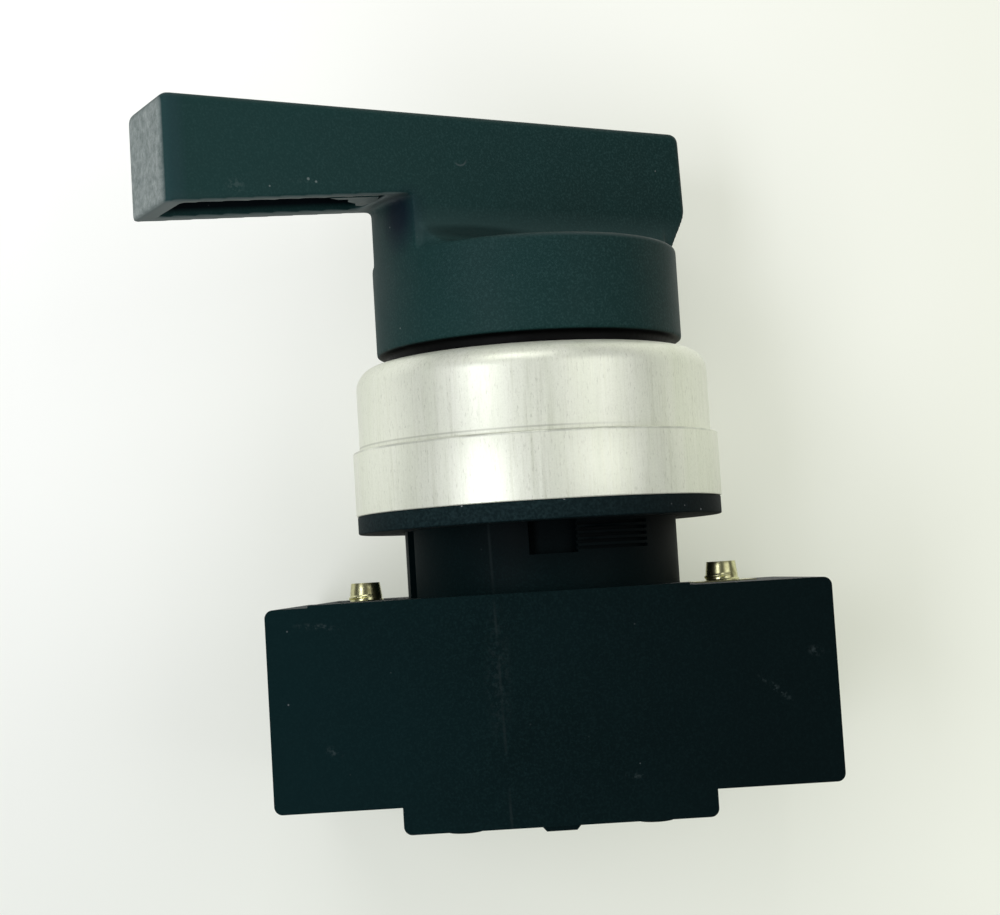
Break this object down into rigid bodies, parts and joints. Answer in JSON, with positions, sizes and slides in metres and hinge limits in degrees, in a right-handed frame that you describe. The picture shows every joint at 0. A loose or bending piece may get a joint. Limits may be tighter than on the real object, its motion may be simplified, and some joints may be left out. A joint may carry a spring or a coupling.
{
  "type": "selector switch",
  "caption": "Panel-mount lever selector switch: long offset lever knob on a metal bezel ring, gasket and barrel, with a double contact block clamped behind the panel.",
  "frame": {"origin": "on the operator's axis at the panel face, which is the gasket's underside", "axes": "+Z out of the panel towards the lever knob; +X and -X towards the contact block's two ends; the lever's free end at rest points to -X and -Y, 30 degrees off the block's long side"},
  "size_m": [0.0561, 0.0377, 0.0617],
  "materials": {
    "knob_plastic": "matte moulded, near black with a green-grey cast",
    "housing_plastic": "matte moulded black",
    "bezel_metal": "satin turned",
    "gasket_rubber": "matte",
    "cam_plastic": "matte moulded",
    "screw_brass": "plated",
    "contact_brass": "bright",
    "contact_silver": "silver alloy",
    "plated_steel": "zinc plated",
    "spring_steel": "bright drawn wire"
  },
  "bodies": {
    "base": {"operator_body": "housing_plastic", "bezel_ring": "bezel_metal", "panel_gasket": "gasket_rubber", "block_housing": "housing_plastic", "rear_cover": "housing_plastic", "cover_screws": "plated_steel", "clamp_screws": "screw_brass", "clamp_nuts": "screw_brass", "strip_no_left": "contact_brass", "strip_no_right": "contact_brass", "strip_nc_left": "contact_brass", "strip_nc_right": "contact_brass", "fixed_tips": "contact_silver", "terminal_screws": "plated_steel", "terminal_clamps": "plated_steel"},
    "lever": {"lever_knob": "knob_plastic", "cam_rotor": "cam_plastic", "cam_screw": "plated_steel", "cam_washer": "plated_steel", "spindle_seal": "gasket_rubber", "detent_balls": "spring_steel", "detent_springs": "spring_steel"},
    "make_plunger": {"plunger_no": "cam_plastic", "bridge_no": "contact_brass", "bridge_tips_no": "contact_silver", "contact_spring_no": "spring_steel", "return_spring_no": "spring_steel"},
    "break_plunger": {"plunger_nc": "cam_plastic", "bridge_nc": "contact_brass", "bridge_tips_nc": "contact_silver", "contact_spring_nc": "spring_steel", "return_spring_nc": "spring_steel"}
  },
  "joints": [
    {"name": "lever_turn", "type": "hinge", "parent": "base", "child": "lever", "pos_m": [0, 0, 0], "axis": [0, 0, -1], "range_deg": [0, 60]},
    {"name": "make_travel", "type": "slide", "parent": "base", "child": "make_plunger", "axis": [0, 0, -1], "range_m": [0, 0.0024], "stiffness_N_per_m": 0.1, "springref_m": -0.065, "deforming": ["return_spring_no"]},
    {"name": "break_travel", "type": "slide", "parent": "base", "child": "break_plunger", "axis": [0, 0, -1], "range_m": [0, 0.0024], "stiffness_N_per_m": 0.1, "springref_m": -0.065, "deforming": ["return_spring_nc"]}
  ],
  "couplings": [
    {"joint": "lever_turn", "follows": "make_travel", "rad_per_m": 435.7},
    {"joint": "break_travel", "follows": "make_travel", "ratio": 1}
  ]
}
